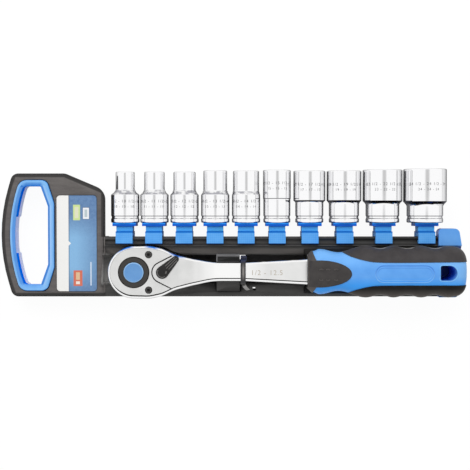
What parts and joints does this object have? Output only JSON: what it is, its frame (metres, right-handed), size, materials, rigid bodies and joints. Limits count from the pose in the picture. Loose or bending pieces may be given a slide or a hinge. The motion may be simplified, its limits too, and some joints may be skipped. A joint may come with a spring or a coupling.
{
  "type": "socket wrench set",
  "caption": "Socket wrench set: a reversible ratchet in a carrying tray with a row of metric sockets on sliding clips.",
  "frame": {"origin": "centre of the set's bounding box on the surface that the tray lies on", "axes": "+X along the tray from its handle to the end cap, +Y up the handle plate towards the sockets' open ends, +Z out of the tray's front"},
  "size_m": [0.3576, 0.0992, 0.045],
  "materials": {
    "black_plastic": "moulded charcoal plastic with a fine grain",
    "blue_ring": "smooth blue plastic",
    "card": "coated card with a printed colour field",
    "blue_cap": "satin blue plastic",
    "blue_clip": "satin blue plastic",
    "tie_plastic": "glossy black strip",
    "chrome": "polished chrome plate",
    "satin_chrome": "satin chrome plate",
    "black_steel": "black oxide steel",
    "tool_steel": "ground steel",
    "spring_steel": "drawn wire",
    "blue_button": "blue plastic button",
    "blue_handle": "hard blue plastic",
    "black_rubber": "soft black grip"
  },
  "bodies": {
    "tray": {"tray": "black_plastic", "grip_ring": "blue_ring", "label_card": "card", "end_cap": "blue_cap"},
    "clip_1": {"clip_1": "blue_clip"},
    "socket_10": {"socket_10": "chrome"},
    "clip_2": {"clip_2": "blue_clip"},
    "socket_11": {"socket_11": "chrome"},
    "clip_3": {"clip_3": "blue_clip"},
    "socket_12": {"socket_12": "chrome"},
    "clip_4": {"clip_4": "blue_clip"},
    "socket_13": {"socket_13": "chrome"},
    "clip_5": {"clip_5": "blue_clip"},
    "socket_14": {"socket_14": "chrome"},
    "clip_6": {"clip_6": "blue_clip"},
    "socket_15": {"socket_15": "chrome"},
    "clip_7": {"clip_7": "blue_clip"},
    "socket_17": {"socket_17": "chrome"},
    "clip_8": {"clip_8": "blue_clip"},
    "socket_19": {"socket_19": "chrome"},
    "clip_9": {"clip_9": "blue_clip"},
    "socket_22": {"socket_22": "chrome"},
    "clip_10": {"clip_10": "blue_clip"},
    "socket_24": {"socket_24": "chrome"},
    "ratchet": {"ratchet_body": "satin_chrome", "cover_plate": "satin_chrome", "cover_screws": "black_steel", "handle_core": "blue_handle", "grip_upper": "black_rubber", "grip_lower": "black_rubber", "thumb_pad": "black_rubber", "tie": "tie_plastic"},
    "lever": {"reverse_lever": "black_steel", "pawl_plunger": "tool_steel", "pawl_spring": "spring_steel"},
    "pawl": {"pawl": "tool_steel"},
    "drive": {"drive_gear": "black_steel", "button_spring": "spring_steel"},
    "button": {"release_button": "blue_button"},
    "ball": {"detent_ball": "tool_steel"}
  },
  "joints": [
    {"name": "clip_1_slide", "type": "slide", "parent": "tray", "child": "clip_1", "axis": [1, 0, 0], "range_m": [-0.0036, 0.0005]},
    {"name": "socket_10_pull", "type": "slide", "parent": "clip_1", "child": "socket_10", "axis": [0, 1, 0], "range_m": [0, 0.05]},
    {"name": "clip_2_slide", "type": "slide", "parent": "tray", "child": "clip_2", "axis": [1, 0, 0], "range_m": [0, 0.0011]},
    {"name": "socket_11_pull", "type": "slide", "parent": "clip_2", "child": "socket_11", "axis": [0, 1, 0], "range_m": [0, 0.05]},
    {"name": "clip_3_slide", "type": "slide", "parent": "tray", "child": "clip_3", "axis": [1, 0, 0], "range_m": [0, 0.0016]},
    {"name": "socket_12_pull", "type": "slide", "parent": "clip_3", "child": "socket_12", "axis": [0, 1, 0], "range_m": [0, 0.05]},
    {"name": "clip_4_slide", "type": "slide", "parent": "tray", "child": "clip_4", "axis": [1, 0, 0], "range_m": [0, 0.0017]},
    {"name": "socket_13_pull", "type": "slide", "parent": "clip_4", "child": "socket_13", "axis": [0, 1, 0], "range_m": [0, 0.05]},
    {"name": "clip_5_slide", "type": "slide", "parent": "tray", "child": "clip_5", "axis": [1, 0, 0], "range_m": [0, 0.0019]},
    {"name": "socket_14_pull", "type": "slide", "parent": "clip_5", "child": "socket_14", "axis": [0, 1, 0], "range_m": [0, 0.05]},
    {"name": "clip_6_slide", "type": "slide", "parent": "tray", "child": "clip_6", "axis": [1, 0, 0], "range_m": [0, 0.0018]},
    {"name": "socket_15_pull", "type": "slide", "parent": "clip_6", "child": "socket_15", "axis": [0, 1, 0], "range_m": [0, 0.05]},
    {"name": "clip_7_slide", "type": "slide", "parent": "tray", "child": "clip_7", "axis": [1, 0, 0], "range_m": [0, 0.0008]},
    {"name": "socket_17_pull", "type": "slide", "parent": "clip_7", "child": "socket_17", "axis": [0, 1, 0], "range_m": [0, 0.05]},
    {"name": "clip_8_slide", "type": "slide", "parent": "tray", "child": "clip_8", "axis": [1, 0, 0], "range_m": [0, 0.0009]},
    {"name": "socket_19_pull", "type": "slide", "parent": "clip_8", "child": "socket_19", "axis": [0, 1, 0], "range_m": [0, 0.05]},
    {"name": "clip_9_slide", "type": "slide", "parent": "tray", "child": "clip_9", "axis": [1, 0, 0], "range_m": [0, 0.0007]},
    {"name": "socket_22_pull", "type": "slide", "parent": "clip_9", "child": "socket_22", "axis": [0, 1, 0], "range_m": [0, 0.05]},
    {"name": "clip_10_slide", "type": "slide", "parent": "tray", "child": "clip_10", "axis": [1, 0, 0], "range_m": [0, 0.0022]},
    {"name": "socket_24_pull", "type": "slide", "parent": "clip_10", "child": "socket_24", "axis": [0, 1, 0], "range_m": [0, 0.05]},
    {"name": "ratchet_lift", "type": "slide", "parent": "tray", "child": "ratchet", "axis": [0, 0, 1], "range_m": [0, 0.06]},
    {"name": "lever_throw", "type": "hinge", "parent": "ratchet", "child": "lever", "pos_m": [-0.0529, -0.0294, 0.042], "axis": [0, 0, 1], "range_deg": [-90, 0]},
    {"name": "pawl_swing", "type": "hinge", "parent": "ratchet", "child": "pawl", "pos_m": [-0.0529, -0.0294, 0.03], "axis": [0, 0, 1], "range_deg": [-7, 0]},
    {"name": "drive_spin", "type": "hinge", "parent": "ratchet", "child": "drive", "pos_m": [-0.0746, -0.0294, 0.03], "axis": [0, 0, 1], "continuous": true},
    {"name": "button_press", "type": "slide", "parent": "drive", "child": "button", "axis": [0, 0, -1], "range_m": [0, 0.003], "stiffness_N_per_m": 400, "springref_m": -0.003, "deforming": ["button_spring"]},
    {"name": "ball_retract", "type": "slide", "parent": "drive", "child": "ball", "axis": [-1, 0, 0], "range_m": [0, 0.0006]}
  ],
  "couplings": [
    {"joint": "pawl_swing", "follows": "lever_throw", "ratio": 0.077778},
    {"joint": "ball_retract", "follows": "button_press", "ratio": 0.2}
  ]
}
